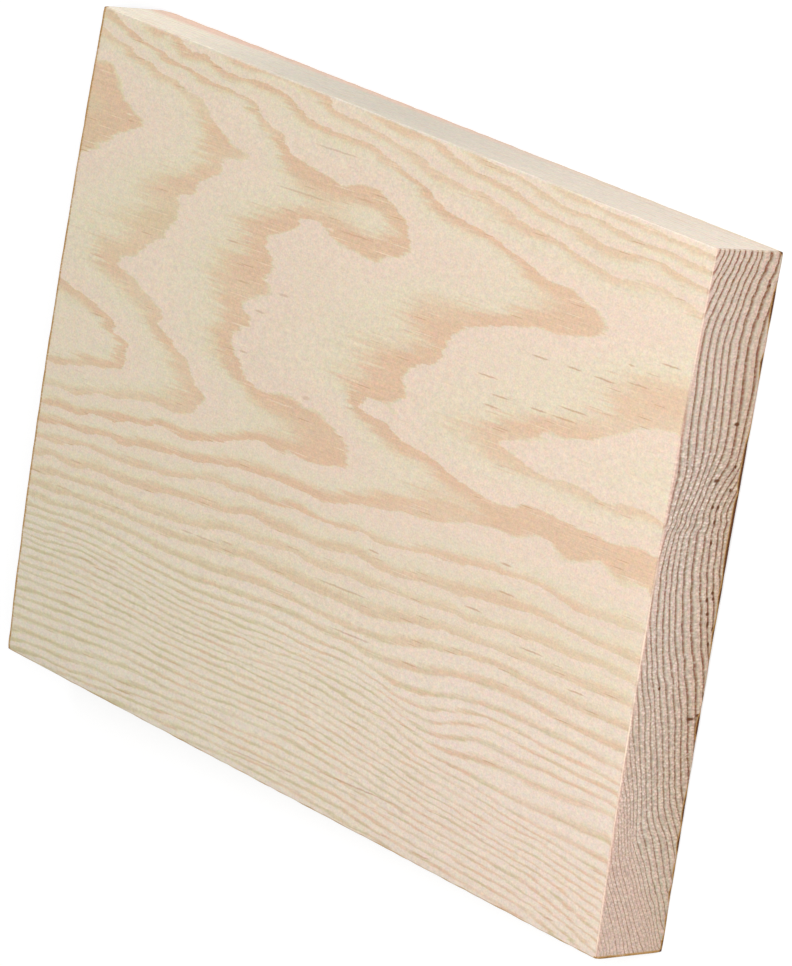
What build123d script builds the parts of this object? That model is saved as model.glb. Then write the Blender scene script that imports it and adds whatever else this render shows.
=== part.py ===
# A short length of planed pine board: one piece of flat-sawn softwood.
#
# It lies flat. X runs along the grain, Y across the width and Z up through the thickness.
# The origin is on the floor, under the middle of the board.
#
# The board has cupped a little since it was planed. Its upper face is crowned across the
# width, its lower face is hollow, and its two long edges lean in towards the lower face.
# All the arrises are eased, the long ones by the planer and those of the saw cuts by hand.

import os

from build123d import *

# Driving dimensions, in millimetres
board_length = 203.2  # saw cut to saw cut, along the grain
board_width = 139.7  # across the upper face, from arris to arris
edge_thickness = 16.6  # from arris to arris, at either long edge

# How the section has moved
crown_rise = 1.4  # how far the upper face rises above its arrises
crown_offset = 8.4  # the highest line lies this far from the centre line, on the -Y side
hollow_rise = 0.7  # how far the lower face lifts off the floor, midway
edge_lean = 0.55  # how far each long edge comes in, from its upper to its lower arris

# Eased arrises
long_arris_radius = 0.4
end_arris_radius = 0.25

upper_half_width = board_width / 2
lower_half_width = upper_half_width - edge_lean
crown_height = edge_thickness + crown_rise

with BuildPart() as board:
    # The section across the grain, at the middle of the length
    with BuildSketch(Plane.YZ):
        with BuildLine():
            # The crown is two arcs, level where they meet on its highest line
            crown = (-crown_offset, crown_height)
            upper_front = TangentArc(crown, (-upper_half_width, edge_thickness), tangent=(-1, 0))
            upper_back = TangentArc(crown, (upper_half_width, edge_thickness), tangent=(1, 0))
            Line(upper_back @ 1, (lower_half_width, 0))
            ThreePointArc((lower_half_width, 0), (0, hollow_rise), (-lower_half_width, 0))
            Line((-lower_half_width, 0), upper_front @ 1)
        make_face()
    extrude(amount=board_length / 2, both=True)

    # The four arrises along the grain, each where an upper or lower corner of the section ran
    long_arrises = board.edges().filter_by(Axis.X).group_by(Axis.Y)
    fillet(long_arrises[0] + long_arrises[1] + long_arrises[-2] + long_arrises[-1], long_arris_radius)

    # The arrises round each saw cut
    for saw_cut in board.faces().filter_by(Axis.X).sort_by(Axis.X):
        fillet(saw_cut.edges(), end_arris_radius)

board.part.label = "board"

os.makedirs("parts", exist_ok=True)
export_step(board.part, "parts/board.step")

print("size", board.part.bounding_box().size, "volume", round(board.part.volume), "mm3")
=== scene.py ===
# A short length of planed pine board, lying on a pale floor and seen from above its right end.
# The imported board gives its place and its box. Here it gets its growth rings, its worn arrises,
# its two sawn ends and its light.

from types import SimpleNamespace

import bpy
import numpy as np
from mathutils import Matrix, Vector


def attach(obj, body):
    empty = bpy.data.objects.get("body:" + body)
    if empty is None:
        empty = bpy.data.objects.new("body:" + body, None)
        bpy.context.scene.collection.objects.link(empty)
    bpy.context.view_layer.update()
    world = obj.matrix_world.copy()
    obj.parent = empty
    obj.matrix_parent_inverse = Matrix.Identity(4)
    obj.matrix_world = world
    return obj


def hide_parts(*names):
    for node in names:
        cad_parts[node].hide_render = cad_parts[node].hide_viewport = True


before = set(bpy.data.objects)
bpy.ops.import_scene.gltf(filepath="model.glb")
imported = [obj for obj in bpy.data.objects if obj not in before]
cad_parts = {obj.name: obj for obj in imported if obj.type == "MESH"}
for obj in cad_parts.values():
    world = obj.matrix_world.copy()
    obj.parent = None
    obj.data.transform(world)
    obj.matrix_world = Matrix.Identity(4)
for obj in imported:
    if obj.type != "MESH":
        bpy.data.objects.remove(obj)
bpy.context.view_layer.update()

mm = 0.001

# The board's own sizes, in mm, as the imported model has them
board = dict(length=203.2, width=139.7, edge=16.6, crown=1.4, crownAt=-8.4, hollow=0.7, lean=0.55,
             longRadius=0.4, endRadius=0.25)

# Where the growth rings come out on the upper face, read along each ring: x and y in mm.
# Ring 1 is the oldest wood there. These lines are the outer, sharp side of a ring's dark summer wood.
sharpSide = [
    (1, [(-101.6, 58.2), (-96, 59.2), (-92, 57), (-88.5, 53.4), (-85, 51.3), (-80.5, 50.4), (-85, 47.4),
         (-90, 44.6), (-96, 41.2), (-101.6, 38.2)]),
    (1, [(-101.6, 12.2), (-95, 11.2), (-88, 10.2), (-84, 8.7), (-80, 7.4), (-78, 5.4), (-74.8, 5),
         (-74.3, 3), (-73.4, 0.5), (-75, -1.2), (-78, -1.9), (-85, -3), (-92, -4.7), (-101.6, -6.4)]),
    (2, [(-101.6, 65.6), (-94, 64.5), (-87, 62.7), (-77, 60.8), (-68, 59.9), (-63, 59.4), (-60, 57.8),
         (-56.5, 55.3), (-50, 52.9), (-44, 51.4), (-51, 48.8), (-52, 46), (-57, 43), (-63.5, 38.5),
         (-64, 34), (-66.5, 30.8), (-70.5, 26.8), (-75, 23.7), (-81.5, 19.6), (-77.5, 18.7),
         (-70.5, 16.4), (-64, 13.6), (-63.5, 10.8), (-57, 8), (-52, 6.2), (-49.5, 3.5), (-47, -1.5),
         (-50, -3.8), (-55, -4.8), (-63, -5), (-70, -6.5), (-78, -7.8), (-85, -9.3), (-94, -10.6),
         (-101.6, -11.3)]),
    (3, [(-98.5, 69.7), (-92, 67.8), (-84, 66), (-77, 64.9), (-70, 64.1), (-60, 63.3), (-50, 62.8),
         (-44.5, 62.4), (-43, 60.5), (-37, 59.2), (-31, 56.4), (-25, 55), (-17.5, 54.2), (-12, 53.6),
         (-3.5, 55.4), (1, 55.4), (5.5, 53.3), (10.8, 50), (12.4, 47.5), (12, 45), (7.5, 43.7),
         (2.5, 41.5), (-5, 41.8), (-11, 41.9), (-13.3, 43), (-18, 44.9), (-22.5, 44.2), (-25, 41.3),
         (-31, 38.8), (-33, 36), (-30.5, 34), (-31.5, 30), (-28, 27.5), (-33.5, 24.8), (-38, 22),
         (-34, 20), (-35, 17.5), (-40, 15), (-36, 12.2), (-32, 8.4), (-29, 7.6), (-22, 8.5), (-18, 9),
         (-12, 7.8), (-8, 8.6), (-3.5, 7), (2, 4.7), (4, 0.8), (-2, -1.2), (-10, -2.3), (-13.5, -1.9),
         (-18, -3.1), (-25, -2.5), (-31, -4.2), (-38, -6.4), (-45, -7.9), (-59, -9), (-70, -11),
         (-83, -13.1), (-94, -14.6), (-101.6, -15.3)]),
    (4, [(-78, 69.8), (-72, 68.4), (-60, 67.3), (-50, 66.8), (-35, 67), (-31.3, 65.5), (-25, 63.8),
         (-18, 63.6), (-10, 63.7), (0, 62.4), (7, 61.3), (15, 59.2), (22, 57.4), (29.5, 55.9),
         (37, 55.5), (44, 54), (52, 52.8), (56, 51.8), (63, 51.8), (69, 50.2), (73.5, 48.8), (73, 45),
         (66, 43.2), (60, 42.3), (52, 41.5), (45, 40.2), (38, 38), (31.5, 35.3), (28.5, 32),
         (27.5, 28.3), (22, 25.8), (18, 23.2), (19.9, 19.8), (14.5, 16), (15.5, 14.3), (5.5, 13),
         (13, 12.3), (17, 10.7), (25, 9.8), (32, 8.9), (38, 7.6), (50, 6.5), (57, 7.5), (68, 9.2),
         (76, 8.5), (85, 8.7), (92, 9.8), (101.6, 9.5)]),
    (4, [(101.6, 3.6), (96, 3.2), (92.5, 1.8), (85, 4), (80, 2.8), (75, 1.6), (68, 3.6), (65, 3.5),
         (59, 1.6), (52.5, 1.3), (45, 0.5), (38, -1.4), (32, -2.9), (23, -3.4), (16, -4.9), (8, -6.2),
         (0, -8.2), (-10, -8.3), (-20, -9), (-33, -10.3), (-41, -11.9), (-52, -13), (-62, -14.3),
         (-68, -15.8), (-77, -16.2), (-91, -17.8), (-101.6, -19.2)]),
    (5, [(-50, 70), (-25, 69.6), (-20, 68), (-8, 67.2), (0, 66.1), (8, 65.5), (16, 63.9), (27, 63),
         (39, 62), (43, 60.9), (57, 59.8), (66, 58.5), (77, 57.4), (89, 58.8), (95, 58.3),
         (101.6, 57.3)]),
    (5, [(101.6, 34), (90, 31.5), (82, 28.5), (75, 25.5), (70, 24.5), (62, 23.8), (65, 22.2),
         (57, 20.3), (49, 18), (56, 16.5), (65, 15.2), (75, 16.2), (85, 15.6), (92, 17.2),
         (101.6, 16.2)]),
    (5, [(101.6, -5), (92, -6), (77, -6.6), (69, -5.3), (58, -6.3), (50, -7.1), (41, -8.7), (29, -9.9),
         (24, -11), (13, -10.9), (0, -12.3), (-10, -12.3), (-24, -14), (-36, -14.8), (-48, -16.6),
         (-60, -18.5), (-75, -19.8), (-86, -20.7), (-101.6, -22.7)]),
    (6, [(0, 69.4), (13, 69), (22, 67.7), (30.5, 66.4), (45, 65.2), (57, 63.6), (69, 62.7), (85, 63.3),
         (93, 62.4), (101.6, 61.7)]),
    (6, [(101.6, -10.7), (78, -10.9), (64, -11.7), (53, -12.8), (41, -14.4), (31, -15.6), (12, -16),
         (0, -17.6), (-12, -18.1), (-26, -18.1), (-35, -19.8), (-50, -21.4), (-64, -23.4), (-80, -24.4),
         (-92, -25.2), (-101.6, -26.5)]),
    (7, [(28, 69.6), (40, 68.6), (50, 67.7), (65, 66.7), (75, 66.3), (90, 66.1), (101.6, 65.4)]),
    (7, [(101.6, -15), (90, -14.8), (75, -16), (60, -16.8), (45, -17.9), (28, -19.4), (9, -20.7),
         (-8, -21.3), (-27, -22.5), (-38, -24.8), (-52, -26.5), (-78, -27.6), (-90, -28.6),
         (-101.6, -30.2)]),
    (8, [(55, 69.8), (70, 69.1), (90, 68.6), (101.6, 68.1)]),
]

# The inner, soft side of the same summer wood, where it fades into the pale spring wood.
softSide = [
    (1, [(-101.6, 9.7), (-93, 9), (-85, 7.4), (-79, 4.8), (-78, 2), (-82, -0.8), (-92, -3.5),
         (-101.6, -5.3)]),
    (2, [(-101.6, 63.8), (-92, 63.2), (-84, 61.2), (-74, 59.6), (-66, 57.6), (-60, 54), (-60, 48),
         (-65, 43.3), (-74, 40), (-77, 35), (-79, 31), (-84, 25), (-89, 20.5), (-85, 17), (-78, 15),
         (-69, 12.2), (-65, 9.5), (-60, 6), (-55.5, 3), (-54.5, 0), (-58, -2.2), (-66, -3.7),
         (-79, -6.6), (-92, -9.5), (-101.6, -10.5)]),
    (3, [(-93, 66.8), (-84, 65.3), (-70, 63.6), (-60, 62.5), (-50, 62.2), (-45, 60), (-38, 57.9),
         (-34, 56), (-31, 52), (-15, 47.5), (-25, 45.4), (-33, 43), (-40, 40), (-40, 35), (-44, 31),
         (-48, 24), (-45, 21), (-43.5, 17), (-45.5, 13), (-42, 10.5), (-34, 7), (-28, 5), (-20, 3.9),
         (-16, 1), (-22, -0.3), (-32, -3.2), (-41, -5.7), (-52, -7.5), (-62, -8.7), (-75, -10.9),
         (-86, -12.8), (-101.6, -14.7)]),
    (4, [(-76, 69), (-63, 66.9), (-50, 65.8), (-36, 65.8), (-31, 63.5), (-25, 62.5), (-15, 62), (-5, 62),
         (5, 60.5), (12, 58.5), (19, 55.8), (28, 54.5), (36, 54.2), (42, 52.8),
         (48, 51), (57, 48.5), (50, 45),
         (44, 42.2), (35, 40.3), (25, 40), (19, 39), (16, 35), (16, 31.5), (19, 28.5), (9, 26),
         (5, 22.5), (5, 19.5), (-1, 16), (3, 13), (10, 10.2), (18, 7.5), (29, 7.5), (36, 4.5),
         (30.5, 2.2), (22, -0.5), (12, -2.6), (5, -5.3), (-6, -6.3), (-16, -6.9), (-26, -7.7),
         (-35, -9), (-45, -11.2), (-56, -12), (-70, -14.5), (-86, -16.2), (-101.6, -18.2)]),
    (5, [(-25, 68.6), (0, 65.1), (27, 61.9), (57, 58.7), (77, 56.3), (89, 57.7), (101.6, 56.2)]),
    (5, [(101.6, 43.5), (90, 42), (79, 37), (78, 31), (68, 28), (58, 25.5), (48, 22.5), (42, 19.5),
         (35, 18), (43, 15.5), (53, 14), (66, 14.1), (84, 14.2), (95, 15.8), (101.6, 15.2)]),
    (5, [(101.6, -4), (85, -4.7), (69, -4), (58, -5), (47, -6.2), (36, -7.2), (28, -9.3), (14, -10.1),
         (0, -11.6), (-15, -11.9), (-32, -13.3), (-50, -16), (-68, -18.3), (-88, -20),
         (-101.6, -21.8)]),
    (6, [(13, 68.1), (30, 65.6), (57, 62.7), (85, 62.4), (101.6, 60.8)]),
    (6, [(101.6, -9.4), (78, -10), (66, -9.2), (51, -11), (42, -12.6), (30, -14), (16, -14.5),
         (0, -16.2), (-12, -16), (-30, -17.7), (-50, -20.2), (-68, -22), (-90, -24.4),
         (-101.6, -25.6)]),
    (7, [(40, 67.8), (65, 65.9), (101.6, 64.6)]),
    (7, [(101.6, -13.6), (82, -14.3), (60, -15.8), (48, -17), (28, -18.6), (0, -20.4), (-24, -21.4),
         (-42, -24), (-64, -26), (-88, -27.7), (-101.6, -29.5)]),
    (8, [(70, 68.4), (101.6, 67.4)]),
]

# The narrow rings of the lower part: y of the middle of each dark line, at these x.
rowX = (100, 80, 70, 60, 50, 40, 30, 20, 0, -20, -40, -60, -80, -100)
narrowRows = {
    8: (-18.9, -19.4, -19.8, -20.4, -21, -22, -23.3, -25, -25.5, -25.8, -28.5, -29.7, -30.4, -32.6),
    9: (-23.5, -24, -24, -23.7, -24.5, -26.3, -28, -29.8, -30.3, -30.4, -32.1, -32.6, -33.1, -35.1),
    10: (-28, -28, -27.4, -27.8, -28.8, -31.2, -32.9, -33.5, -33.3, -34, -36, -35.8, -35.8, -37.4),
    11: (-31.7, -31.6, -31.8, -32.2, -33.6, -35.7, -36.8, -36, -36.3, -36.3, -38, -37.9, -37.8, -39.4),
    12: (-34.7, -34.7, -34.5, -34.6, -36.3, -38.9, -39, -37.8, -38.1, -38.8, -40.1, -39.6, -39.3, -41),
    13: (-36.7, -36.8, -36.8, -36.6, -38.8, -41.1, -40.3, -39.3, -39.5, -40.4, -41.3, -40.9, -40.6, -42.6),
    14: (-39.2, -39.1, -39.9, -39.8, -41.8, -43, -41.6, -40.5, -40.6, -41.9, -42.8, -42.3, -41.7, -43.6),
    15: (-41.3, -42.8, -42.6, -43.2, -44.8, -44.8, -43, -42, -41.6, -42.9, -43.8, -43.3, -43.2, -44.7),
    16: (-46, -47.1, -47.5, -47.1, -47, -46.7, -45, -44.4, -43.3, -44.6, -45.3, -45.1, -45.2, -46.5),
    17: (-50.4, -50.3, -50.1, -49.3, -48.9, -48.7, -47.3, -46.2, -45.5, -46.5, -47.3, -46.9, -47, -48.6),
    18: (-53, -52.1, -51.7, -50.7, -50.3, -50, -49, -48.3, -47, -47.8, -48.3, -48.3, -48.5, -49.9),
    19: (-54.8, -53.1, -52.9, -52.3, -51.7, -51.5, -50.6, -49.9, -48.4, -48.7, -49.9, -49.8, -50.2, -51.6),
    20: (-56.6, -54.9, -54.7, -54.1, -53.8, -53.2, -52.5, -51.6, -50.2, -50.7, -51.4, -51.4, -51.7, -53.2),
    21: (-58.2, -56.4, -56.2, -55.6, -55, -54.7, -53.6, -53, -51.8, -52.3, -53.2, -53, -54.1, -55.8),
    22: (-60, -57.8, -57.3, -56.9, -56.3, -55.8, -55.1, -54.6, -53.4, -54.1, -54.8, -54.7, -55.9, -57.6),
    23: (-62, -59.2, -58.8, -58.2, -57.8, -57.2, -56.6, -56, -55, -55.7, -56.6, -56.7, -58.1, -59.6),
    24: (-64, -60.5, -59.9, -59.8, -59.5, -59.1, -58.4, -57.6, -56.4, -57.2, -58.7, -58.7, -60.2, -61.6),
    25: (-66, -62.5, -61.9, -61.6, -61.4, -60.7, -60, -59.4, -58.5, -59.1, -60.6, -60.7, -63.3, -64.6),
    26: (-68, -64.6, -63.7, -63, -62.9, -62.5, -61.9, -61.5, -61, -61.6, -62.4, -64.2, -65.4, -67.1),
}
narrowLines = [
    (27, [(96, -68.9), (80, -66), (60, -65), (40, -64), (20, -62.9), (0, -62.6), (-20, -63), (-40, -64.2),
          (-60, -66), (-80, -67.6), (-95, -68.3)]),
    (28, [(86, -68.7), (70, -66.9), (40, -65.9), (20, -64.9), (0, -64.4), (-20, -64.8), (-40, -65.3),
          (-60, -66.9), (-80, -68.6)]),
    (29, [(73, -69), (50, -67.9), (30, -67.5), (20, -66.7), (0, -66.5), (-20, -66.8), (-40, -67.6),
          (-60, -68.8)]),
    (30, [(30, -69), (20, -68.7), (0, -68), (-20, -68), (-30, -68.7), (-36, -69.2)]),
]

# The same rings on the sawn end at the right: y and z of the middle of each dark line.
endLines = [
    (16, [(-47.5, 17.2), (-52, 15.9), (-56, 13.9)]),
    (13, [(-48, 14.5), (-54, 11.8), (-62, 7.9), (-68, 4.4)]),
    (8, [(-19, 17.9), (-24, 17.1), (-46, 11.5), (-50, 9.2), (-57, 5.9), (-64, 2.6), (-67.7, 0.8)]),
    (7, [(68.5, 14.9), (65.2, 16.3)]),
    (7, [(-15, 17.9), (-20, 16.4), (-24, 15.5), (-46, 9.5), (-50, 7.6), (-58, 3.8), (-65, 0.7)]),
    (6, [(69, 13.6), (65, 15.2), (61.8, 16.5)]),
    (6, [(-10.5, 18), (-16, 16.4), (-28, 13.2), (-42, 9.6), (-46, 7.5), (-52, 5.1), (-58, 2.5),
         (-62, 0.8)]),
    (5, [(69, 12.3), (64.5, 14.2), (57.3, 16.7)]),
    (5, [(36, 17.2), (30, 16.9), (26, 16.5), (22, 17), (16.5, 18)]),
    (5, [(-4.5, 18), (-10, 16.4), (-20, 13.4), (-44, 7.2), (-50, 4.2), (-58.3, 0.8)]),
    (4, [(69.2, 11), (63.2, 12.9), (56.5, 15.4), (53, 16), (43, 15.8), (33, 15.4), (26, 14.75), (22, 15.5),
         (12, 17.3), (5, 18), (0, 17.65), (-6, 16.4), (-14, 14.4), (-20, 12.5), (-30, 9.8), (-41, 7.2),
         (-46, 4.2), (-54.6, 0.9)]),
    (3, [(69.2, 9.7), (62.5, 11.7), (55, 14), (52.8, 14.3), (45, 14.1), (38, 13.9), (28, 13.2),
         (25.5, 13.3), (20, 14.5), (12, 16.3), (8, 16.6), (0, 16), (-8, 14.7), (-16, 12.2), (-24, 9.8),
         (-34, 7.3), (-40, 5.9), (-44, 3.9), (-51, 0.7)]),
    (2, [(69.2, 8), (60, 10.7), (53, 12.5), (43.8, 12.1), (35, 11.7), (28, 11.4), (24, 12.3), (16, 14.5),
         (10, 15.3), (2, 14.7), (-6, 13.4), (-14, 11.4), (-24, 8.3), (-34, 5.9), (-40, 4.3), (-47, 0.8)]),
    (1, [(69.2, 6.5), (60, 9.2), (52.5, 10.8), (42, 10.1), (30, 9.8), (24, 10.9), (16, 13.3), (10, 14),
         (2, 13.5), (-6, 11.9), (-14, 9.3), (-22, 7), (-30, 5.4), (-38, 3.5), (-43.5, 0.9)]),
    (0, [(69, 5.5), (61, 7.6), (51.8, 9.3), (41.5, 8.7), (30, 8.3), (24, 9.9), (16, 12.1), (12, 12.7),
         (4, 12.3), (-6, 10.5), (-14, 8), (-22, 5.5), (-30, 4), (-40, 1)]),
    (-1, [(69, 3.1), (61, 5.5), (50, 7), (40, 6.5), (30, 6.5), (24, 8.6), (16, 10.8), (12, 11.1),
          (4, 10.6), (-5, 8.8), (-14, 6.4), (-22, 3.9), (-34, 1.1)]),
    (-2, [(69, 0.9), (60, 3.2), (50, 4.8), (42, 4.3), (32, 4.2), (28, 4.8), (24, 7), (16, 9), (12, 9.3),
          (4, 8.6), (-5, 6.7), (-14, 3.8), (-20, 2.3)]),
    (-3, [(61.5, 0.5), (52, 2.2), (43, 1.7), (32, 2.3), (28, 2.8), (24, 5.2), (20, 6.8), (12, 7.2),
          (4, 6.5), (0, 5.3), (-6, 4), (-14, 1.7)]),
    (-4, [(20, 5.4), (12, 5.7), (4, 4.8), (-3, 3.1), (-9, 1.6)]),
    (-5, [(20, 4), (12, 4), (5, 3.5), (0, 2.2), (-6, 1.1)]),
    (-6, [(20, 2.6), (12, 2.6), (4, 1.6)]),
    (-7, [(20, 1), (10, 1.1)]),
]

# Single points on the face: the middle of a ring where it is broad, and the paler eye inside ring 3.
# Each has its ring count, then x and y.
lonePoints = [(0.7, -101.6, 49), (0.8, -88.5, 49.3), (0.93, -84, 49.8), (1.4, -101.6, 25),
              (1.45, -90, 30), (2.42, 2, 49.7), (2.5, -6, 50.5), (3.62, 45, 3.6), (3.75, 68, 6),
              (3.78, 80, 6), (3.8, 101.6, 6.5), (5.4, 101.6, 25), (0.35, -97, 2.3)]

# And two on the sawn end, low down by the near edge: ring count, then y and z.
endLonePoints = [(8.7, -69.3, 0.2), (16.5, -69.3, 8)]

# How the ring counts are fitted. A line lies this far from its ring's own number, a fit is squeezed
# along each axis, its cones have tips this blunt, and it may give a little at each point.
ringFit = dict(sharp=0, soft=-0.4, middle=-0.2, give=0.02, faceSqueeze=(0.35, 1.0), faceBlunt=1.0,
               endSqueeze=(0.45, 1.0), endBlunt=0.8, rimReach=69.4, rimPoints=60, atOnce=4000)


# Height of the upper face: two circular arcs, level where they meet on the highest line.
def crownHeight(y):
    crown, crownAt = board["crown"], board["crownAt"]
    span = np.where(y > crownAt, board["width"] / 2 - crownAt, board["width"] / 2 + crownAt)
    radius = (span * span + crown ** 2) / (2 * crown)
    away = np.clip(y - crownAt, -span, span)
    return board["edge"] + crown - (radius - np.sqrt(radius * radius - away * away))


# Height of the lower face: one arc, which lifts off the floor midway.
def hollowHeight(y):
    span = board["width"] / 2 - board["lean"]
    radius = (span * span + board["hollow"] ** 2) / (2 * board["hollow"])
    return board["hollow"] - (radius - np.sqrt(radius * radius - np.clip(y, -span, span) ** 2))


# A smooth surface through scattered values: a level and a slope fitted to them all, plus one cone
# with a rounded tip of radius blunt at each point, sized so that the sum meets each value.
def fitThrough(points, values, squeeze, blunt):
    knots = np.asarray(points, float) * squeeze
    far = np.sqrt(((knots[:, None] - knots[None]) ** 2).sum(-1) + blunt ** 2)
    flat = np.c_[np.ones(len(knots)), knots]
    n, m = flat.shape
    grid = np.zeros((n + m, n + m))
    grid[:n, :n] = far - ringFit["give"] * np.eye(n)
    grid[:n, n:] = flat
    grid[n:, :n] = flat.T
    weights = np.linalg.solve(grid, np.r_[np.asarray(values, float), np.zeros(m)])

    def surface(*axes):
        places = np.stack([np.ravel(a) for a in axes], -1) * squeeze
        out = np.empty(len(places))
        for start in range(0, len(places), ringFit["atOnce"]):
            some = places[start:start + ringFit["atOnce"]]
            far = np.sqrt(((some[:, None] - knots[None]) ** 2).sum(-1) + blunt ** 2)
            level = np.c_[np.ones(len(some)), some] @ weights[n:]
            out[start:start + ringFit["atOnce"]] = far @ weights[:n] + level
        return out.reshape(np.shape(axes[0]))
    return surface


# Ring count over the upper face, from x and y in mm
def faceRings():
    points, values = [], []
    for lines, place in ((sharpSide, "sharp"), (softSide, "soft"), (narrowLines, "middle")):
        for ring, line in lines:
            points += line
            values += [ring + ringFit[place]] * len(line)
    for ring, row in narrowRows.items():
        points += list(zip(rowX, row))
        values += [ring + ringFit["middle"]] * len(row)
    points += [(x, y) for _, x, y in lonePoints]
    values += [count for count, _, _ in lonePoints]
    return fitThrough(points, values, ringFit["faceSqueeze"], ringFit["faceBlunt"])


# Ring count over the sawn end, from y and z in mm. Along its upper rim it is that of the face.
def endRings(face):
    points, values = [], []
    for ring, line in endLines:
        points += line
        values += [ring + ringFit["middle"]] * len(line)
    rim = np.linspace(-ringFit["rimReach"], ringFit["rimReach"], ringFit["rimPoints"])
    points += list(zip(rim, crownHeight(rim)))
    values += list(face(np.full_like(rim, board["length"] / 2), rim))
    points += [(y, z) for _, y, z in endLonePoints]
    values += [count for count, _, _ in endLonePoints]
    return fitThrough(points, values, ringFit["endSqueeze"], ringFit["endBlunt"])


# The skin, in mm: close rows beside each arris, then even ones, and how far the arrises are worn.
skin = dict(closeRows=(0, 0.12, 0.25, 0.4, 0.6, 0.85, 1.2), alongGrain=0.94, across=0.93, through=0.98,
            inset=0.008, wearReach=0.9, wearDepth=0.16, leastWorn=0.3, wearStepX=2.6, wearStepY=2.2,
            cornerReach=1.2, cornerDepth=0.12, wearSeed=41)


def rowsAlong(size, step):
    close = np.array(skin["closeRows"])
    inner = size / 2 - close[-1]
    even = np.linspace(-inner, inner, int(round(2 * inner / step)) + 1)
    return np.concatenate([close - size / 2, even[1:-1], (size / 2 - close)[::-1]])


# The outside of a block as six grids of rows i, j, k. Points that grids share are made one.
def blockSurface(ni, nj, nk):
    quads = []
    counts = (ni, nj, nk)
    for axis in range(3):
        u, v = (axis + 1) % 3, (axis + 2) % 3
        a, b = np.meshgrid(np.arange(counts[u] - 1), np.arange(counts[v] - 1), indexing="ij")
        for side in (0, 1):
            corners = ((0, 0), (1, 0), (1, 1), (0, 1)) if side else ((0, 0), (0, 1), (1, 1), (1, 0))
            loop = []
            for du, dv in corners:
                at = [None, None, None]
                at[axis] = np.full(a.shape, side * (counts[axis] - 1))
                at[u] = a + du
                at[v] = b + dv
                loop.append((at[0] * nj + at[1]) * nk + at[2])
            quads.append(np.stack([corner.ravel() for corner in loop], -1))
    keys, faces = np.unique(np.concatenate(quads), return_inverse=True)
    return keys // (nj * nk), keys // nk % nj, keys % nk, faces.reshape(-1, 4)


# Rounds two sides of a block that meet: a point nearer than the radius to both goes onto the arc.
def roundOff(a, b, radius):
    da, db = np.maximum(radius - a, 0), np.maximum(radius - b, 0)
    reach = np.maximum(np.hypot(da, db), 1e-9)
    scale = np.maximum(da, db) / reach
    return np.where(a < radius, radius - da * scale, a), np.where(b < radius, radius - db * scale, b)


# Uneven values along a line, straight between knots that are step apart, from 0 to 1.
def unevenAlong(at, step, seed):
    knots = np.arange(-120, 121, step)
    return np.interp(at, knots, np.random.default_rng(seed).random(len(knots)))


# The board's skin: a block's rows, rounded and worn at the arrises and laid into the cupped section.
# Height is the hollow's, plus the row's share of the thickness from the hollow to the crown.
def boardSkin():
    length, width, edge = board["length"], board["width"], board["edge"]
    xRows, yRows = rowsAlong(length, skin["alongGrain"]), rowsAlong(width, skin["across"])
    zRows = rowsAlong(edge, skin["through"])
    i, j, k, faces = blockSurface(len(xRows), len(yRows), len(zRows))
    x, y, z = xRows[i], yRows[j], zRows[k]

    # how far in from the nearest end, long edge and broad face
    fromEnd, fromEdge, fromFace = length / 2 - abs(x), width / 2 - abs(y), edge / 2 - abs(z)
    onEnd = np.isclose(fromEnd, 0)
    depth = np.minimum(fromEdge, fromFace)
    newEdge, newFace = roundOff(fromEdge, fromFace, board["longRadius"])
    newEnd, newDepth = roundOff(fromEnd, depth, board["endRadius"])

    # the arrises are worn a little, more in some places than in others, and one corner is knocked
    reach, least = skin["wearReach"], skin["leastWorn"]
    nearEnd, nearEdge, nearFace = (np.exp(-(d / reach) ** 2) for d in (fromEnd, fromEdge, fromFace))
    alongX = unevenAlong(x + 37 * np.sign(y), skin["wearStepX"], skin["wearSeed"])
    alongY = unevenAlong(y + 11 * np.sign(x) + 5 * np.sign(z), skin["wearStepY"], skin["wearSeed"] + 1)
    wear = skin["wearDepth"] * (nearEdge * nearFace * (least + (1 - least) * alongX) ** 2
                                + nearEnd * nearFace * (least + (1 - least) * alongY) ** 2)
    corner = np.sqrt((x + length / 2) ** 2 + (y - width / 2) ** 2 + (z + edge / 2) ** 2)
    wear += skin["cornerDepth"] * np.exp(-(corner / skin["cornerReach"]) ** 2)
    inward = newDepth - depth + wear + skin["inset"]

    # step inwards from the nearer of the long sides, from both beside an arris, and from the ends
    tie = np.clip((fromFace - fromEdge) / board["longRadius"], -1, 1) * 0.5 + 0.5
    sideways = np.where(fromEdge <= fromFace, 1.0, 0.0)
    sideways = np.where(depth < board["longRadius"] + 0.01, tie, sideways)
    newEdge = newEdge + inward * sideways
    newFace = newFace + inward * (1 - sideways)
    newEnd = newEnd + skin["inset"] + np.where(onEnd, wear, 0)
    x = np.sign(x) * (length / 2 - newEnd)
    y = np.sign(y) * (width / 2 - newEdge)
    z = np.sign(z) * (edge / 2 - newFace)

    # the section: height runs from the hollow to the crown, and the long edges lean in downwards
    low, high = hollowHeight(y), crownHeight(y)
    height = low + (z + edge / 2) / edge * (high - low)
    y = y * (1 - board["lean"] / (width / 2) * (1 - height / edge))
    return np.stack([x, y, height], -1), faces, i, j, xRows, yRows


print("skin: working out the growth rings")
face = faceRings()
end = endRings(face)
points, faces, rowI, rowJ, xRows, yRows = boardSkin()

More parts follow.
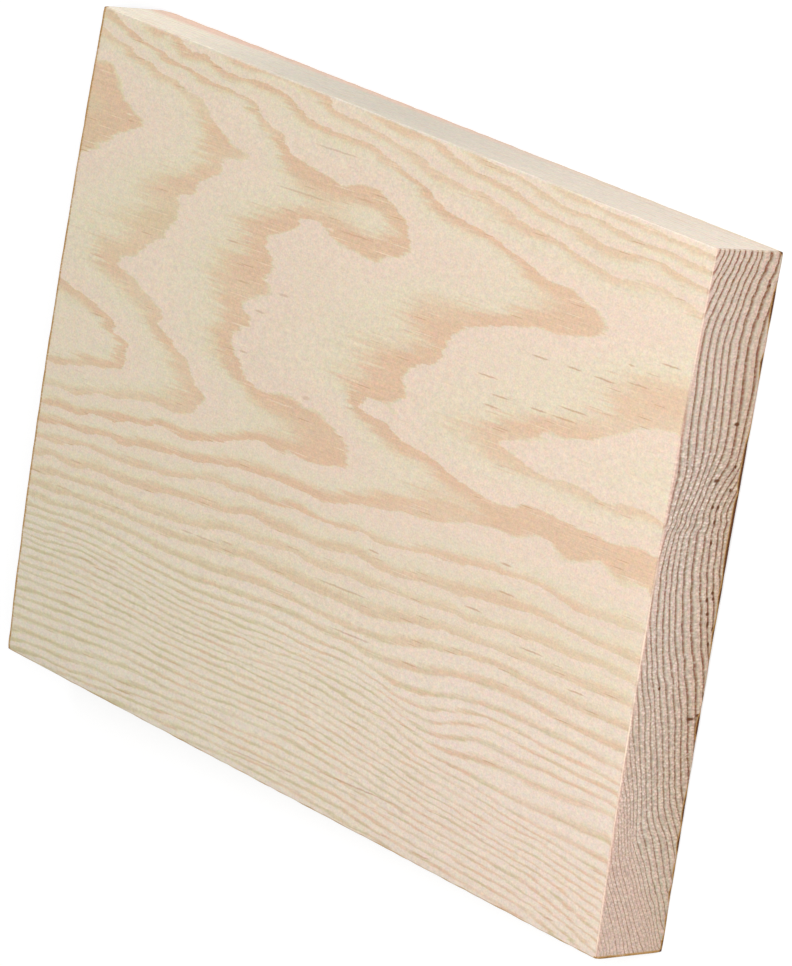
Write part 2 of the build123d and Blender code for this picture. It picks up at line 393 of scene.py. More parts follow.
# The face's ring count on the rows, its slope along the grain and its steepness, in rings per mm,
# and the sawn end's count on the rows at even heights
gridX, gridY = np.meshgrid(xRows, yRows, indexing="ij")
faceCount = face(gridX, gridY)
faceSlope = face(gridX + 0.5, gridY) - face(gridX - 0.5, gridY)
faceSteep = np.hypot(faceSlope, face(gridX, gridY + 0.5) - face(gridX, gridY - 0.5))
heights = np.linspace(0, board["edge"] + board["crown"], 73)
endCount = end(*np.meshgrid(yRows, heights, indexing="ij"))


# The sawn end's count in these rows of y, straight between the heights it was worked out at
def endCountAt(rows, height):
    at = np.clip(height / heights[-1] * (len(heights) - 1), 0, len(heights) - 1.001)
    below = at.astype(int)
    part = at - below
    return endCount[rows, below] * (1 - part) + endCount[rows, below + 1] * part


# Ring count anywhere: that of the face above, plus what the sawn end gains from its rim to that depth
x, y, z = points.T
rimCount = endCountAt(np.arange(len(yRows)), crownHeight(yRows))
rings = faceCount[rowI, rowJ] + endCountAt(rowJ, z) - rimCount[rowJ]

mesh = bpy.data.meshes.new("board_skin")
mesh.from_pydata((points * mm).tolist(), [], faces.tolist())
mesh.update()
mesh.polygons.foreach_set("use_smooth", np.ones(len(faces), bool))


def store(name, values):
    layer = mesh.attributes.new(name, "FLOAT", "POINT")
    layer.data.foreach_set("value", np.asarray(values, np.float32))


# 1 on a side of the board, gone by this many mm in from it
def onSide(away, gone=0.3):
    return np.clip(1 - away / gone, 0, 1)


# full strength up to reach mm from the arris of two sides, gone by twice that
def band(a, b, reach):
    return np.clip(2 - np.maximum(a, b) / reach, 0, 1)


# a value that runs straight between these pairs of place, in mm, and amount
def between(at, *pairs):
    return np.interp(at, *zip(*pairs))


# Distances from the six sides, in mm
half = board["width"] / 2
leanIn = board["lean"] * (1 - z / board["edge"])
fromLeft, fromRight = x + board["length"] / 2, board["length"] / 2 - x
fromFront, fromBack = y + half - leanIn, half - leanIn - y
fromTop, fromFloor = crownHeight(y) - z, z - hollowHeight(y)
sawn = np.clip(1.8 - np.minimum(fromLeft, fromRight) / board["endRadius"], 0, 1)
onBack = onSide(fromBack) * (1 - sawn)
store("ringCount", rings)
store("ringSlope", faceSlope[rowI, rowJ])
store("ringSteep", faceSteep[rowI, rowJ])
store("sawnEnd", sawn)
store("longEdge", onBack + 0.3 * onSide(fromFront) * (1 - sawn))

# How brown the lower arris of the right end is: y in mm, and strength
lowerArris = ((-70, 0.5), (-67, 0.7), (-65, 0.35), (-63, 0.65), (-60, 0.3), (-57, 0.7), (-55, 0.3),
              (-53, 0.7), (-50, 0.35), (-47.5, 0.85), (-44, 0.5), (-41, 0.8), (-38, 0.65), (-35, 0.35),
              (-31, 0.25), (-27, 0.3), (-25, 0.85), (-22.5, 0.85), (-21, 0.35), (-16, 0.3), (-11, 0.35),
              (-8, 0.5), (-5.5, 0.75), (-3, 0.5), (0, 0.6), (2, 0.85), (5, 0.6), (9, 0.95), (20, 1.0),
              (22, 0.6), (24, 0.9), (31, 0.85), (34, 0.5), (40, 0.3), (44, 0.35), (48, 0.85), (50, 0.3),
              (54, 0.4), (57, 0.8), (61, 0.8), (64, 0.25), (68.4, 0.15), (69.1, 1.0))

# The other brown arrises: strength, the sides that meet, reach in mm, then the least of it and the
# uneven rest, along which axis, between knots how far apart, and the seed
brownArrises = ((0.4, fromLeft, fromTop, 0.6, 0.75, 0.4, y, 2.7, 6),
                (0.34, fromFront, fromTop, 0.3, 0.5, 0.6, x, 3.1, 7),
                (0.5, fromFront, fromRight, 0.4, 0.6, 0.5, z, 2.1, 10),
                (0.12, fromBack, fromFloor, 0.25, 0.4, 0.6, x, 4.1, 8))
plainArrises = ((fromLeft, fromFloor), (fromFront, fromFloor), (fromFront, fromLeft), (fromBack, fromLeft))

brown = between(y, *lowerArris)
dark = band(fromRight, fromFloor, 0.16 + 0.42 * brown) * np.clip(1.45 * brown - 0.3, 0, 1)
for strength, a, b, reach, least, rest, at, step, seed in brownArrises:
    dark += strength * band(a, b, reach) * (least + rest * unevenAlong(at, step, seed))
for a, b in plainArrises:
    dark += 0.24 * band(a, b, 0.3)
store("bruise", np.clip(dark, 0, 1))

# A painted highlight: the pale line where the upper face meets the right end, and a fainter one where the
# right end meets the back edge
highlightAlong = between(y, (-70, 0.95), (-60, 0.75), (-48, 0.6), (-35, 0.95), (-3, 0.9), (6, 0.6), (14, 0.3),
                 (45, 0.2), (52, 0.7), (70, 0.8)) * (0.58 + 0.42 * unevenAlong(y, 1.7, 12))
store("paleArris", highlightAlong * band(fromRight, fromTop, 0.17) + 0.45 * band(fromRight, fromBack, 0.13))

# The back edge: greyed in the middle, with reddish wood low down that thins out to the right
grey = between(x, (-90, 0), (-76, 0.12), (-63, 0.4), (-50, 0.7), (-38, 0.85), (-13, 0.95), (13, 0.8),
               (38, 0.5), (63, 0.35), (89, 0.2), (101.6, 0.1))
# painted shade on the arris between the upper face and the back edge, dulling the light it catches, more
# to the left
arrisShade = band(fromBack, fromTop, 0.3) * between(x, (20, 0.7), (70, 0.35))
rosy = between(x, (-101.6, 0.9), (-90, 1), (-70, 1), (-60, 0.8), (-20, 0.75), (30, 0.35), (101.6, 0.15))
rosyTop = between(x, (-101.6, 6.5), (-80, 6), (-62, 4.2), (-20, 3.8), (40, 3.6), (101.6, 3))
underRim = sawn * np.clip(2 - fromTop / 0.5, 0, 1) * (fromRight < 1)  # a rosy strip on the right end
lineAlong = between(x, (-101.6, 0.8), (-60, 0.75), (0, 0.65), (40, 0.6), (101.6, 0.6))
lineAlong = lineAlong * (0.6 + 0.5 * unevenAlong(x, 5, 15))
store("lined", onBack)
store("greyed", onBack * grey + (1 - onBack) * arrisShade)
store("rosy", onBack * rosy * np.clip(3 - 3 * fromFloor / rosyTop, 0, 1)
      + 0.5 * underRim * (0.4 + 0.6 * unevenAlong(y, 2.3, 14)))
store("edgeLine", onBack * lineAlong * np.clip(2 - fromFloor / 0.7, 0, 1))

# The sawn ends: where beads of pale grain show most, how strong the ring lines are, and how much darker
# and browner they turn towards the bottom
store("beaded", between(y, (-70, 0.5), (-58, 0.55), (-48, 0.75), (-36, 0.85), (-22, 0.8), (-8, 0.65),
                        (2, 0.55), (8, 0.8), (18, 1), (27, 1), (33, 0.55), (45, 0.3), (70, 0.3)))
lines = between(y, (-70, 0.8), (-50, 0.8), (-38, 0.76), (-24, 0.76), (-14, 0.84), (-6, 0.92), (54, 0.92),
                (64, 1.05), (70, 1.1))
lowDown = np.clip(1.1 - z / 9, 0, 1) * np.clip((y + 50) / 16, 0, 1)
store("lineStrength", lines + (1.05 - lines) * lowDown)
darkerAlong = between(y, (-70, 0.5), (-52, 0.7), (-35, 1), (40, 0.95), (52, 0.6), (70, 0.45))
store("stained", np.clip((12 - z) / 10, 0, 1) ** 1.4 * darkerAlong)

skinObject = bpy.data.objects.new("board_skin", mesh)
bpy.context.scene.collection.objects.link(skinObject)
print("skin:", len(points), "points,", 2 * len(faces), "triangles")


# Starts the node tree of a material or of the world. What the helpers below make goes into it.
def startTree(owner):
    global tree
    owner.use_nodes = True
    tree = owner.node_tree
    tree.nodes.clear()


def addNode(kind, inputs=(), **settings):
    made = tree.nodes.new(kind)
    for name, value in settings.items():
        setattr(made, name, value)
    for name, value in dict(inputs).items():
        if isinstance(value, bpy.types.NodeSocket):
            tree.links.new(value, made.inputs[name])
        else:
            made.inputs[name].default_value = value
    return made


def calc(operation, a, b=0.0, c=0.0):
    return addNode("ShaderNodeMath", {0: a, 1: b, 2: c}, operation=operation).outputs[0]


def times(a, b):
    return calc("MULTIPLY", a, b)


def timesPlus(a, b, c):
    return calc("MULTIPLY_ADD", a, b, c)


# What a noise adds to the base: how far it is from its middle, times the amount
def swung(value, amount, base=0.0):
    return timesPlus(calc("SUBTRACT", value, 0.5), amount, base)


# Smoothly from outLow to outHigh while the value goes from low to high
def ramp(value, low, high, outLow=0.0, outHigh=1.0):
    inputs = {"Value": value, "From Min": low, "From Max": high, "To Min": outLow, "To Max": outHigh}
    return addNode("ShaderNodeMapRange", inputs, interpolation_type="SMOOTHSTEP").outputs[0]


def mix(amount, a, b):
    return addNode("ShaderNodeMix", {0: amount, 2: a, 3: b}).outputs[0]


def blendColour(amount, a, b, kind="MIX"):
    return addNode("ShaderNodeMix", {0: amount, 6: a, 7: b}, data_type="RGBA", blend_type=kind).outputs[2]


def tinted(colour, tint):
    return blendColour(1.0, colour, tint, "MULTIPLY")


def shade(colour, tone):
    return tinted(colour, addNode("ShaderNodeCombineColor", {0: tone, 1: tone, 2: tone}).outputs[0])


def vectorCalc(operation, *inputs):
    return addNode("ShaderNodeVectorMath", dict(enumerate(inputs)), operation=operation)


def attribute(name):
    return addNode("ShaderNodeAttribute", attribute_name=name).outputs["Fac"]


# Noise at so many bumps per mm along each axis, from 0 to 1
def noise(place, perMm, detail, roughness, offset):
    scaled = addNode("ShaderNodeMapping", {"Vector": place, "Location": offset,
                                           "Scale": [p / mm for p in perMm]}).outputs[0]
    return addNode("ShaderNodeTexNoise", {"Vector": scaled, "Scale": 1.0, "Detail": detail,
                                          "Roughness": roughness}).outputs["Fac"]


# A colour for the renderer, from the three values of 0 to 255 that a paint program shows
def rgb(*values):
    shares = [value / 255 for value in values]
    return tuple(s / 12.92 if s <= 0.04045 else ((s + 0.055) / 1.055) ** 2.4 for s in shares) + (1.0,)


white = (1.0, 1.0, 1.0, 1.0)
pine = dict(
    fibreLean=0.05,
    springPink=rgb(232, 210, 190), springCream=rgb(228, 213, 188), springGrey=rgb(228, 213, 195),
    summerPeach=rgb(223, 189, 159), summerTan=rgb(217, 190, 157), summerSand=rgb(222, 198, 168),
    fringe=rgb(221, 205, 167), narrowOlive=rgb(204, 189, 153), narrowOrange=rgb(218, 187, 158),
    dash=rgb(190, 146, 112), streakPale=rgb(240, 224, 202),
    edgeCream=rgb(247, 234, 218), edgeGrey=rgb(215, 205, 190), edgeRose=rgb(240, 202, 183),
    edgeOrange=rgb(236, 182, 146), edgeGold=rgb(244, 226, 184),
    endSpring=rgb(211, 201, 183), endPink=rgb(217, 189, 175), endSummer=rgb(142, 88, 70),
    endOlive=rgb(138, 96, 64), endNarrow=rgb(156, 114, 88), endRose=rgb(214, 168, 154),
    bead=rgb(243, 230, 221), pit=rgb(96, 52, 20),
    # the pale arris colour is a painted highlight
    arrisHighlightColour=rgb(248, 229, 203), bruiseLight=rgb(182, 140, 82), bruiseDark=rgb(98, 56, 28),
    # tints that multiply the colours: of the left part, of narrow rings at the right, of the sawn end
    leftTint=(0.97, 1.0, 0.985, 1.0), rightTint=(1.0, 0.972, 0.992, 1.0), lowDownTint=(0.95, 0.882, 0.80, 1.0),
    endTintBack=(1.0, 0.985, 0.98, 1.0), endTintFront=(1.0, 0.967, 0.945, 1.0),
    # marks that are placed one by one: how far their outlines shake, in mm, and how deep they go
    shake=(1.2, 0.3, 0.0), shakeScale=600.0, faceLevel=17.4, faceReach=5, endReach=9,
    pitWide=1.2, pitHigh=1.15,
    specular=0.3, bumpStrength=0.35, bumpHeight=0.05,
)

# Noises that follow the fibres: bumps per mm along, across and up, detail, roughness, offset
fibreNoise = dict(
    teeth=((0.08, 0.42, 0.42), 2.0, 0.5, (0, 0, 0)),
    serrated=((0.1, 1.1, 1.1), 2.0, 0.65, (2, 5, 5)),
    rough=((0.17, 0.75, 0.75), 3.0, 0.8, (7, 3, 1)),
    wander=((0.06, 0.26, 0.26), 1.0, 0.5, (1, 1, 6)),
    drift=((0.018, 0.12, 0.12), 2.0, 0.5, (5, 8, 3)),
    hue=((0.03, 0.09, 0.09), 2.0, 0.5, (8, 2, 5)),
    quickHue=((0.11, 0.5, 0.5), 2.0, 0.6, (2, 7, 8)),
    fine=((0.09, 4.5, 4.5), 2.0, 0.6, (4, 1, 6)),
    streak=((0.055, 1.2, 1.2), 3.0, 0.7, (3, 9, 4)),
    runs=((0.045, 0.8, 0.8), 2.0, 0.5, (4, 4, 9)),
    lengthwise=((0.012, 0.3, 1.1), 2.0, 0.6, (3, 3, 2)),
    mottle=((2.0, 2.5, 2.5), 2.0, 0.65, (0, 4, 2)),
    blotch=((0.5, 0.8, 0.8), 1.0, 0.65, (6, 6, 1)),
    broad=((0.02, 0.2, 0.2), 2.0, 0.65, (9, 3, 3)),
    sawnGrain=((0.2, 2.8, 2.0), 3.0, 0.75, (9, 2, 7)),
    broken=((0.05, 1.7, 1.4), 2.0, 0.6, (6, 1, 2)),
)

# Short marks along the fibres: length and width in mm, spacing in widths, share kept, offset
fibreStreaks = dict(pale=(9.0, 0.2, 2.2, 0.5, (3, 1, 4)), fingers=(10.0, 0.36, 2.4, 0.45, (7, 2, 3)),
                    dark=(5.0, 0.24, 3.0, 0.5, (1, 5, 9)))

# Resin marks on the upper face: from x to x, at y, in mm
faceDashes = (
    (40, 46, 29.4), (45, 50, 26.5), (43, 48, 24), (66, 74, 29.8), (57, 62, 27.1), (64, 71, 27.5),
    (66, 70, 37.6), (74, 80, 37.9), (55, 60, 37), (83, 85, 42.6), (84, 90, 39.5), (92.5, 98, 45.4),
    (-31, -25, 44.6), (-32, -15, 49), (-41, -36, 27), (-46, -42, 34), (-22, -9, 59.8), (-7, -1, 52.6),
    (-10, 0, 45.1), (15.5, 19, -13.5), (57, 62, -9.6), (48, 53, -15.4), (66, 73, -18.2), (82, 87, -21.8),
    (0, 17, -23.6), (-32, -28, -25.5), (-41, -33, -26.8), (-46, -42, -27.2), (-91, -86, -30.6),
    (7, 20, -31.8), (31, 36, -31.8), (-80, -75, -43), (-70, -66, -41.6), (-84, -78, -51.6), (8, 34, -60.9),
    (-62, -56, -64.2), (-63, -55, -66), (-22, 0, -65.8), (42, 48, -67.6), (85, 88, -66.7),
)

# Small flecks and pale scratches on the upper face: x and y of the middle, half length, half width
faceFlecks = ((-12, 9.9, 1.6, 0.55), (-24.6, 27.8, 2.4, 0.33), (-85.4, 49.2, 1.2, 0.3),
              (58, -4.2, 2.2, 0.3), (-31.5, 22.6, 2.2, 0.3), (-34.8, 13.4, 2.0, 0.28))
faceScratches = ((95, 3.8, 6, 0.2), (10, 13.8, 4.8, 0.22), (-13.5, 44.3, 1.8, 0.3), (-37, 18.3, 4, 0.22),
                 (-84.8, -7, 2.4, 0.25), (-36.5, 14.6, 4, 0.2), (-20, 6.6, 6, 0.2), (-86, 50.4, 1.6, 0.24))

# Dark pits in the right end: y and z of the middle, and how wide and high, in mm
endPits = (
    (-22.3, 3.3, 0.33, 1.1), (-21.7, 1.3, 0.4, 0.8), (35.8, 4.3, 0.4, 0.7), (24.8, 6.9, 0.4, 0.8),
    (19.6, 6.8, 0.4, 0.4), (19.5, 5.4, 0.4, 0.4), (16.6, 5.7, 0.5, 0.35), (12.5, 5.6, 0.5, 0.35),
    (1.3, 4.2, 0.5, 0.4), (-1.5, 3.5, 0.4, 0.4), (-3.5, 3, 0.7, 0.35), (2.7, 3.1, 0.4, 0.4),
    (1.5, 2.7, 0.4, 0.35), (-4.5, 1.5, 0.5, 0.35), (-7.5, 2, 0.5, 0.35), (-16, 12.2, 0.4, 0.35),
    (22.8, 3.1, 0.4, 0.3), (27.5, 2.8, 0.4, 0.3), (62.8, 2.1, 0.4, 0.3),
)


# Blobs in a space squeezed along the grain, only some of them kept
def fibreMarks(place, lengthMm, widthMm, spacing, kept, offset):
    thin = 1 / (widthMm * spacing * mm)
    scale = (1 / (lengthMm * spacing * mm), thin, thin)
    squeezed = addNode("ShaderNodeMapping", {"Vector": place, "Location": offset,
                                             "Scale": scale}).outputs[0]
    cells = addNode("ShaderNodeTexVoronoi", {"Vector": squeezed, "Scale": 1.0})
    near = ramp(cells.outputs["Distance"], 0.35 / spacing, 0.55 / spacing, 1.0, 0.0)
    pick = addNode("ShaderNodeSeparateColor", {0: cells.outputs["Color"]}).outputs[0]
    return times(near, calc("LESS_THAN", pick, kept))


# 1 in the middle of any of these marks, 0 outside them all. Each has a middle and a reach, in mm.
def placedMarks(place, marks):
    nearest = 9.0
    for middle, reach in marks:
        scaled = vectorCalc("MULTIPLY_ADD", place, [1 / (r * mm) for r in reach],
                            [-m / r for m, r in zip(middle, reach)]).outputs[0]
        away = vectorCalc("LENGTH", scaled).outputs["Value"]
        nearest = calc("MINIMUM", away, nearest)
    return ramp(nearest, 0.45, 1.1, 1.0, 0.0)


# What the pine reads: the skin's attributes, its own coordinates, and the noises along the fibres
def readSkin():
    has = SimpleNamespace(**{name: attribute(name) for name in (
        "ringCount", "ringSlope", "ringSteep", "sawnEnd", "longEdge", "bruise", "paleArris", "greyed",
        "rosy", "edgeLine", "lined", "beaded", "lineStrength", "stained")})
    has.place = addNode("ShaderNodeTexCoord").outputs["Object"]
    has.along, has.yAt, has.zAt = addNode("ShaderNodeSeparateXYZ", {0: has.place}).outputs
    leant = timesPlus(has.along, -pine["fibreLean"], has.yAt)  # the fibres lean a little
    has.fibre = addNode("ShaderNodeCombineXYZ", {0: has.along, 1: leant, 2: has.zAt}).outputs[0]
    for name, values in fibreNoise.items():
        setattr(has, name, noise(has.fibre, *values))
    jitter = addNode("ShaderNodeTexNoise", {"Vector": has.place, "Scale": pine["shakeScale"],
                                            "Detail": 1.0}).outputs["Color"]
    has.shake = vectorCalc("MULTIPLY_ADD", jitter, [s * mm for s in pine["shake"]],
                           [-s * mm / 2 for s in pine["shake"]]).outputs[0]
    return has


# The rings with uneven outlines. Their phase runs from 0, just outside a sharp line, to 1 at the next,
# and the summer wood comes in softly, a little streaked along the fibres, and stops sharply.
def ringBands(has):
    slope, steep = has.ringSlope, has.ringSteep
    # fibres shift along the grain, in mm, and whole rings sway across it, less so on the sawn ends
    shift = swung(has.teeth, 5.0, swung(has.serrated, 4.6))
    sway = swung(has.rough, 1.7, swung(has.wander, 1.2))
    sway = times(sway, ramp(has.ringCount, 7.0, 13.0, 1.0, 0.6))
    sway = times(sway, timesPlus(has.sawnEnd, -0.45, 1.0))
    count = timesPlus(sway, steep, timesPlus(shift, slope, has.ringCount))
    phase = calc("FRACT", count)
    narrow = ramp(count, 6.0, 12.0)
    seed = addNode("ShaderNodeTexWhiteNoise", {"W": calc("FLOOR", count)},
                   noise_dimensions="1D").outputs["Value"]

    # the more a band runs across the fibres, the further its soft side is streaked
    crossing = calc("DIVIDE", times(slope, slope), calc("MAXIMUM", steep, 0.001))
    reach = calc("MINIMUM", timesPlus(crossing, 22.0, 0.3), 1.75)
    soft = swung(has.fine, 0.14, swung(has.streak, reach, phase))
    rise = ramp(soft, mix(narrow, 0.44, 0.46), mix(narrow, 0.79, 0.8))
    drop = ramp(phase, mix(narrow, 0.965, 0.84), 1.0, 1.0, 0.0)
    summer = times(rise, drop)

    # its colour is stronger in some rings, in long drifts, and in short runs where rings are narrow
    strength = timesPlus(seed, 0.4, timesPlus(has.drift, 1.7, -0.15))
    strength = calc("MINIMUM", strength, ramp(has.along, -0.02, 0.08, 1.1, 0.92))
    strength = mix(narrow, strength, ramp(has.runs, 0.32, 0.66, 0.52, 1.14))
    strength = times(strength, timesPlus(has.longEdge, -0.7, 1.0))
    vars(has).update(count=count, phase=phase, narrow=narrow, seed=seed, soft=soft, summer=summer,
                     strength=strength, inBand=times(summer, strength))


# Planed wood: pinkish outside each sharp line, cream in the middle of a ring, then summer wood
def planedWood(has):
    phase, narrow, along, inBand = has.phase, has.narrow, has.along, has.inBand
    spring = blendColour(ramp(phase, 0.02, 0.5), pine["springPink"], pine["springCream"])
    spring = blendColour(times(narrow, 0.8), spring, pine["springGrey"])
    fringe = times(ramp(has.soft, 0.36, 0.66), ramp(along, -0.08, 0.06, 0.6, 0.2))
    spring = blendColour(times(fringe, has.strength), spring, pine["fringe"])
    spring = blendColour(has.longEdge, spring, pine["edgeCream"])
    dark = blendColour(ramp(has.hue, 0.25, 0.45), pine["summerTan"], pine["summerPeach"])
    dark = blendColour(ramp(has.count, 4.6, 7.0, 0.0, 0.85), dark, pine["summerSand"])
    pinker = ramp(calc("ADD", along, has.quickHue), 0.42, 0.62)
    darkNarrow = blendColour(pinker, pine["narrowOlive"], pine["narrowOrange"])
    wood = blendColour(inBand, spring, blendColour(narrow, dark, darkNarrow))
    # the back edge grey in the middle, and painted shade on its arris with the upper face
    wood = blendColour(has.greyed, wood, pine["edgeGrey"])
    wood = blendColour(times(has.rosy, 0.95), wood, pine["edgeRose"])
    lineColour = blendColour(ramp(along, 0.0, 0.07), pine["edgeOrange"], pine["edgeGold"])
    wood = blendColour(has.edgeLine, wood, lineColour)

    # pale and dark streaks along the fibres
    streaks = {name: fibreMarks(has.fibre, *values) for name, values in fibreStreaks.items()}
    wood = blendColour(times(times(streaks["pale"], inBand), 0.5), wood, pine["streakPale"])
    ahead = times(ramp(phase, 0.2, 0.6), timesPlus(narrow, -0.6, 0.6))
    wood = blendColour(times(streaks["fingers"], ahead), wood, dark)
    nearBand = timesPlus(ramp(phase, 0.3, 0.8), 0.42, 0.12)
    wood = blendColour(times(streaks["dark"], nearBand), wood, pine["dash"])

    # the resin marks, flecks and scratches that are placed one by one, in line with the fibres
    shaken = vectorCalc("ADD", has.fibre, has.shake).outputs[0]

    def onFace(marks):
        return placedMarks(shaken, [
            ((x, y - pine["fibreLean"] * x, pine["faceLevel"]), (halfLong, halfWide, pine["faceReach"]))
            for x, y, halfLong, halfWide in marks])

    dashes = [((a + b) / 2, y, (b - a) / 1.55, 0.23) for a, b, y in faceDashes]
    dashStrength = ramp(along, -0.01, 0.03, 0.42, 0.6)
    wood = blendColour(times(onFace(dashes + list(faceFlecks)), dashStrength), wood, pine["dash"])
    return blendColour(times(onFace(faceScratches), 0.5), wood, pine["streakPale"])


# How bright planed wood is: short runs along the fibres, the back edge's own streaks, and mottling
def planedTone(has):
    narrow, along, side = has.narrow, has.along, has.longEdge
    runs = ramp(has.fine, 0.35, 0.7, -1.0, 1.0)
    amount = timesPlus(has.inBand, 0.032, timesPlus(side, 0.016, 0.006))
    tone = timesPlus(runs, amount, 1.0)
    dim = times(calc("SUBTRACT", 1.0, narrow), ramp(along, -0.11, 0.0, -0.008, -0.05))
    tone = timesPlus(dim, calc("SUBTRACT", 1.0, side), tone)
    farOut = ramp(calc("ABSOLUTE", along), 0.06, 0.1, 0.0, 0.026)
    tone = timesPlus(farOut, has.lined, tone)
    tone = timesPlus(swung(has.lengthwise, 0.14), has.lined, tone)
    for name, amount in (("mottle", 0.42), ("blotch", 0.13), ("broad", 0.05)):
        tone = swung(getattr(has, name), amount, tone)
    return tone


# Specks with a little red and green in them, as a tint
def specks(has):
    small = addNode("ShaderNodeMapping", {"Vector": has.place, "Scale": (
        0.8 / mm, 1.2 / mm, 1.2 / mm)}).outputs[0]
    colours = addNode("ShaderNodeTexNoise", {"Vector": small, "Scale": 1.0, "Detail": 2.0,
                                             "Roughness": 0.7}).outputs["Color"]
    return vectorCalc("MULTIPLY_ADD", colours, (0.27, 0.25, 0.33), (0.865, 0.875, 0.835)).outputs[0]


# Sawn wood: strings of pale beads along the rings, between broken brown lines
def sawnWood(has, tint):
    phase, narrow, yAt, grain = has.phase, has.narrow, has.yAt, has.sawnGrain
    lineFrom = ramp(yAt, -0.05, -0.025, 0.62, 0.42)
    line = times(ramp(swung(grain, 0.4, phase), lineFrom, 0.84),
                 ramp(phase, 0.88, 1.0, 1.0, 0.0))
    line = times(line, ramp(has.broken, 0.3, 0.56, 0.6, 1.0))
    line = times(line, mix(narrow, 1.0, timesPlus(has.seed, 0.6, 0.55)))
    line = times(line, has.lineStrength)

    beadPlace = addNode("ShaderNodeCombineXYZ", {
        0: times(yAt, 1.85 / mm), 1: times(has.count, 1.8),
        2: times(has.zAt, 0.2 / mm)}).outputs[0]
    cells = addNode("ShaderNodeTexVoronoi", {"Vector": beadPlace, "Scale": 1.0, "Randomness": 0.95})
    pick = addNode("ShaderNodeSeparateColor", {0: cells.outputs["Color"]}).outputs[0]
    bead = times(ramp(cells.outputs["Distance"], 0.15, 0.5, 1.0, 0.0),
                 ramp(pick, 0.1, 0.75, 0.1, 1.0))
    bead = times(times(bead, has.beaded), timesPlus(line, -0.75, 1.0))
    gap = times(ramp(cells.outputs["Distance"], 0.35, 0.75), has.beaded)

    spring = blendColour(ramp(phase, 0.1, 0.5), pine["endPink"], pine["endSpring"])
    spring = blendColour(times(narrow, 0.6), spring, pine["endPink"])
    dark = blendColour(ramp(has.quickHue, 0.4, 0.6), pine["endOlive"], pine["endSummer"])
    dark = blendColour(narrow, dark, pine["endNarrow"])
    wood = blendColour(line, spring, dark)
    wood = shade(wood, timesPlus(gap, -0.2, ramp(grain, 0.28, 0.7, 0.76, 1.14)))
    wood = tinted(blendColour(times(bead, 0.72), wood, pine["bead"]), tint)
    sideTint = blendColour(ramp(yAt, -0.008, -0.022), pine["endTintBack"], pine["endTintFront"])
    # darker and browner towards the bottom of the end
    wood = tinted(wood, blendColour(has.stained, sideTint, pine["lowDownTint"]))
    wood = blendColour(has.rosy, wood, pine["endRose"])
    shaken = vectorCalc("ADD", has.place, has.shake).outputs[0]
    pits = placedMarks(shaken, [
        ((board["length"] / 2, y, z), (pine["endReach"], wide * pine["pitWide"], high * pine["pitHigh"]))
        for y, z, wide, high in endPits])
    return blendColour(times(pits, 0.95), wood, pine["pit"])


def pineMaterial():
    material = bpy.data.materials.new("pine")
    startTree(material)
    has = readSkin()
    ringBands(has)
    along, sawn, bruise, grain = has.along, has.sawnEnd, has.bruise, has.sawnGrain

    tint = specks(has)
    wood = shade(tinted(planedWood(has), tint), planedTone(has))
    rightSide = times(ramp(along, 0.0, 0.06), has.narrow)
    wood = blendColour(rightSide, wood, tinted(wood, pine["rightTint"]))
    wood = tinted(wood, blendColour(ramp(along, -0.1, 0.06), pine["leftTint"], white))
    colour = blendColour(sawn, wood, sawnWood(has, tint))
    # the painted highlight along the upper and back arrises of the right end
    colour = blendColour(times(has.paleArris, 0.8), colour, pine["arrisHighlightColour"])

    # bruised arrises, ragged by the sawn grain
    ragged = times(swung(grain, 0.8, bruise), ramp(bruise, 0.0, 0.25))
    bruiseColour = blendColour(ramp(ragged, 0.38, 0.8), pine["bruiseLight"], pine["bruiseDark"])
    colour = blendColour(ramp(ragged, 0.05, 0.45), colour, bruiseColour)

    height = timesPlus(times(grain, sawn), 1.8, has.fine)
    bump = addNode("ShaderNodeBump", {"Height": height, "Strength": pine["bumpStrength"],
                                      "Distance": pine["bumpHeight"] * mm}).outputs[0]
    roughness = timesPlus(has.summer, -0.1, timesPlus(sawn, 0.25, 0.6))
    shader = addNode("ShaderNodeBsdfPrincipled", {"Base Color": colour, "Roughness": roughness,
                                                  "Normal": bump, "Specular IOR Level": pine["specular"]})
    addNode("ShaderNodeOutputMaterial", {"Surface": shader.outputs[0]})
    return material


mesh.materials.append(pineMaterial())
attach(skinObject, "root")
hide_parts("board")
print("pine: material made")

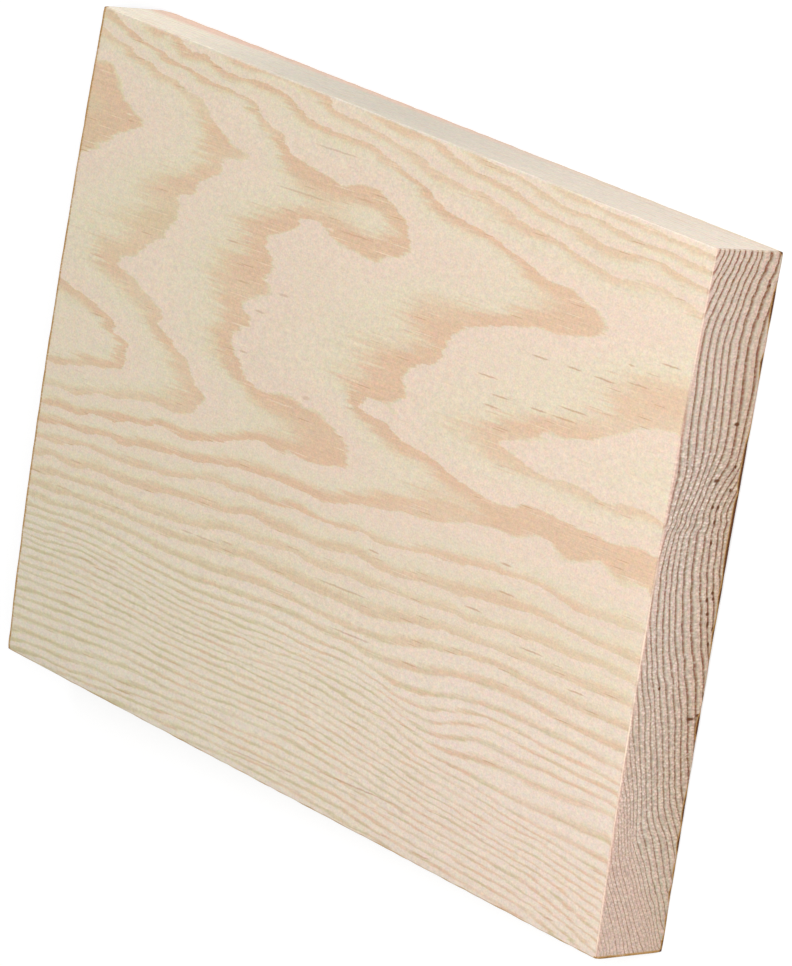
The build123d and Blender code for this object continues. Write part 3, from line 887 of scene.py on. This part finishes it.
# The floor and light: the floor is wide, plain and pale, white to the camera where no shadow falls.
# Each lamp has a name, its watts, its width and its place in metres.
stage = dict(floorSize=6.0, floorColour=(0.45, 0.45, 0.45, 1.0), whitening=0.66, sky=0.49,
             lamps=(("key", 3.9, 0.45, (0.54, 0.13, 0.47)), ("fill", 2.9, 0.4, (-0.25, 0.7, 0.11))))
floorMesh = bpy.data.meshes.new("floor")
halfFloor = stage["floorSize"] / 2
corners = [(a * halfFloor, b * halfFloor, 0) for a, b in ((-1, -1), (1, -1), (1, 1), (-1, 1))]
floorMesh.from_pydata(corners, [], [(0, 1, 2, 3)])
floor = bpy.data.objects.new("floor", floorMesh)
bpy.context.scene.collection.objects.link(floor)
floorMaterial = bpy.data.materials.new("floor_paper")
startTree(floorMaterial)
plain = addNode("ShaderNodeBsdfDiffuse", {"Color": stage["floorColour"]})
seen = addNode("ShaderNodeLightPath").outputs["Is Camera Ray"]
lift = addNode("ShaderNodeEmission", {"Color": white, "Strength": times(seen, stage["whitening"])})
both = addNode("ShaderNodeAddShader", {0: plain.outputs[0], 1: lift.outputs[0]})
addNode("ShaderNodeOutputMaterial", {"Surface": both.outputs[0]})
floorMesh.materials.append(floorMaterial)

world = bpy.data.worlds.new("studio")
startTree(world)
path = addNode("ShaderNodeLightPath")
seen = calc("MAXIMUM", path.outputs["Is Camera Ray"], path.outputs["Is Glossy Ray"])
skyStrength = timesPlus(seen, 1 - stage["sky"], stage["sky"])
sky = addNode("ShaderNodeBackground", {"Color": white, "Strength": skyStrength})
addNode("ShaderNodeOutputWorld", {"Surface": sky.outputs[0]})
bpy.context.scene.world = world

for name, watts, width, place in stage["lamps"]:
    light = bpy.data.lights.new(name, "AREA")
    light.energy = watts
    light.shape = "DISK"
    light.size = width
    lamp = bpy.data.objects.new(name, light)
    lamp.location = place
    lamp.rotation_mode = "QUATERNION"
    lamp.rotation_quaternion = (-lamp.location).to_track_quat("-Z", "Y")
    bpy.context.scene.collection.objects.link(lamp)
print("stage: floor, sky and lamps made")

# The camera: where it stands in mm, its right, up and back directions, and its lens and sensor in mm
camera = dict(at=(1073.415, 313.653, 868.698), right=(0.592338, 0.156386, -0.790366),
              up=(-0.273364, 0.9618, -0.014566), back=(0.757896, 0.224686, 0.612462), lens=263.34,
              sensor=36)
cameraData = bpy.data.cameras.new("camera")
cameraData.sensor_width = camera["sensor"]
cameraData.lens = camera["lens"]
cameraObject = bpy.data.objects.new("camera", cameraData)
axes = Matrix((camera["right"], camera["up"], camera["back"])).transposed()
cameraObject.matrix_world = Matrix.Translation(Vector(camera["at"]) * mm) @ axes.to_4x4()
bpy.context.scene.collection.objects.link(cameraObject)
bpy.context.scene.camera = cameraObject
bpy.context.scene.view_settings.view_transform = "Standard"
print("camera: placed")
